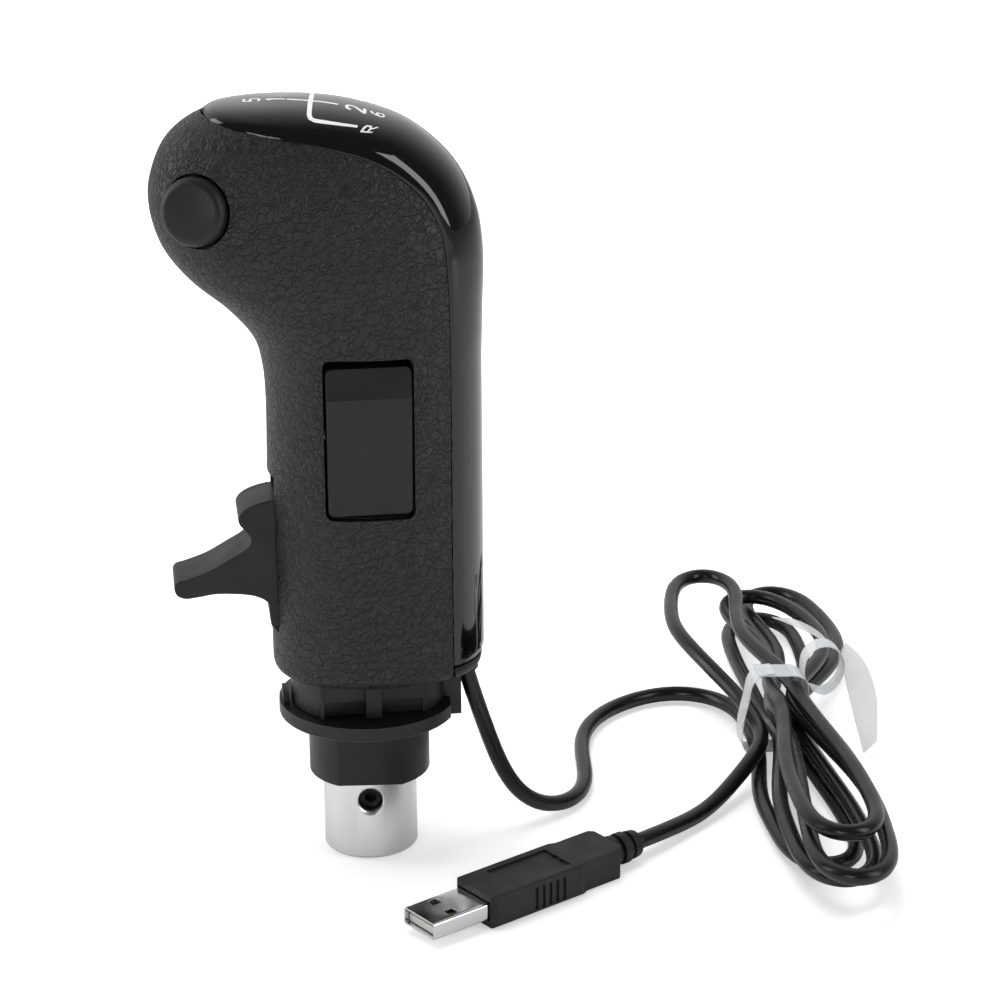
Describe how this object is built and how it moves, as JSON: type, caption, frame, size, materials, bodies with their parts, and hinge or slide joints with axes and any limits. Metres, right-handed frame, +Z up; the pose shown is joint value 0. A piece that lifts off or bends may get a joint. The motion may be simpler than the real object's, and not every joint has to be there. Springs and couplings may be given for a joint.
{
  "type": "usb gear shifter",
  "caption": "Hand-held gear lever knob with a gloss spine cover, thumb button, rocker, range paddle, metal mounting tube and a tied USB lead",
  "frame": {"origin": "centre of the lower face of the mounting tube, on the tube's axis", "axes": "+Z up along the mounting tube and the handle; -X is the front, where the head and the range paddle reach; -Y is the side of the thumb button and the rocker"},
  "size_m": [0.1977, 0.2055, 0.1958],
  "materials": {
    "grip_grain": "black moulded skin with a leather grain",
    "cover_gloss": "piano black",
    "core_plastic": "satin black moulding",
    "button_plastic": "fine satin black",
    "frame_plastic": "plain dark grey moulding",
    "tube_aluminium": "turned aluminium",
    "black_steel": "black oxide steel",
    "bright_steel": "zinc plated steel",
    "plug_metal": "nickel plated steel",
    "contact_brass": "gilt contacts",
    "plug_plastic": "matte dark grey moulding",
    "plug_insert": "plain white",
    "board_laminate": "green solder mask",
    "chip_plastic": "plain black",
    "jack_plastic": "natural nylon",
    "cord_jacket": "smooth black jacket with a soft sheen",
    "grommet_rubber": "matte black rubber",
    "tie_film": "milky translucent film"
  },
  "bodies": {
    "handle": {"adapter_tube": "tube_aluminium", "set_screw": "black_steel", "lower_collar": "core_plastic", "lock_flange": "core_plastic", "core_sleeve": "core_plastic", "core_screw_left": "bright_steel", "core_screw_right": "bright_steel", "grip_shell": "grip_grain", "spine_cover": "cover_gloss", "rear_band": "core_plastic", "inner_frame": "frame_plastic", "main_board": "board_laminate", "main_chip": "chip_plastic", "board_jack": "jack_plastic", "board_screw_lower": "bright_steel", "board_screw_upper": "bright_steel", "rocker_housing": "frame_plastic", "rocker_pin": "bright_steel", "rocker_switch_lower": "chip_plastic", "rocker_switch_upper": "chip_plastic", "thumb_guide": "frame_plastic", "thumb_spring": "bright_steel", "thumb_switch": "chip_plastic", "paddle_pin": "bright_steel", "paddle_switch_upper": "chip_plastic", "paddle_switch_lower": "chip_plastic", "cord_inner": "cord_jacket", "cable_clamp": "frame_plastic", "cable_grommet": "grommet_rubber", "cord_lead": "cord_jacket", "cord_bundle": "cord_jacket", "tie_ribbon": "tie_film", "plug_shell": "plug_metal", "plug_overmould": "plug_plastic", "plug_tongue": "plug_insert", "plug_contact_1": "contact_brass", "plug_contact_2": "contact_brass", "plug_contact_3": "contact_brass", "plug_contact_4": "contact_brass", "plug_relief": "plug_plastic", "cord_tail": "cord_jacket"},
    "rocker": {"rocker_cap": "button_plastic"},
    "thumb": {"thumb_button": "button_plastic"},
    "paddle": {"range_paddle": "button_plastic"}
  },
  "joints": [
    {"name": "rocker_tilt", "type": "hinge", "parent": "handle", "child": "rocker", "pos_m": [0, -0.013, 0.1155], "axis": [-1, 0, 0], "range_deg": [0, 12]},
    {"name": "thumb_press", "type": "slide", "parent": "handle", "child": "thumb", "axis": [0.4504, 0.8802, -0.1495], "range_m": [0, 0.002], "stiffness_N_per_m": 900, "springref_m": -0.001, "deforming": ["thumb_spring"]},
    {"name": "range_tilt", "type": "hinge", "parent": "handle", "child": "paddle", "pos_m": [-0.017, 0, 0.082], "axis": [0, 1, 0], "range_deg": [0, 8]}
  ]
}
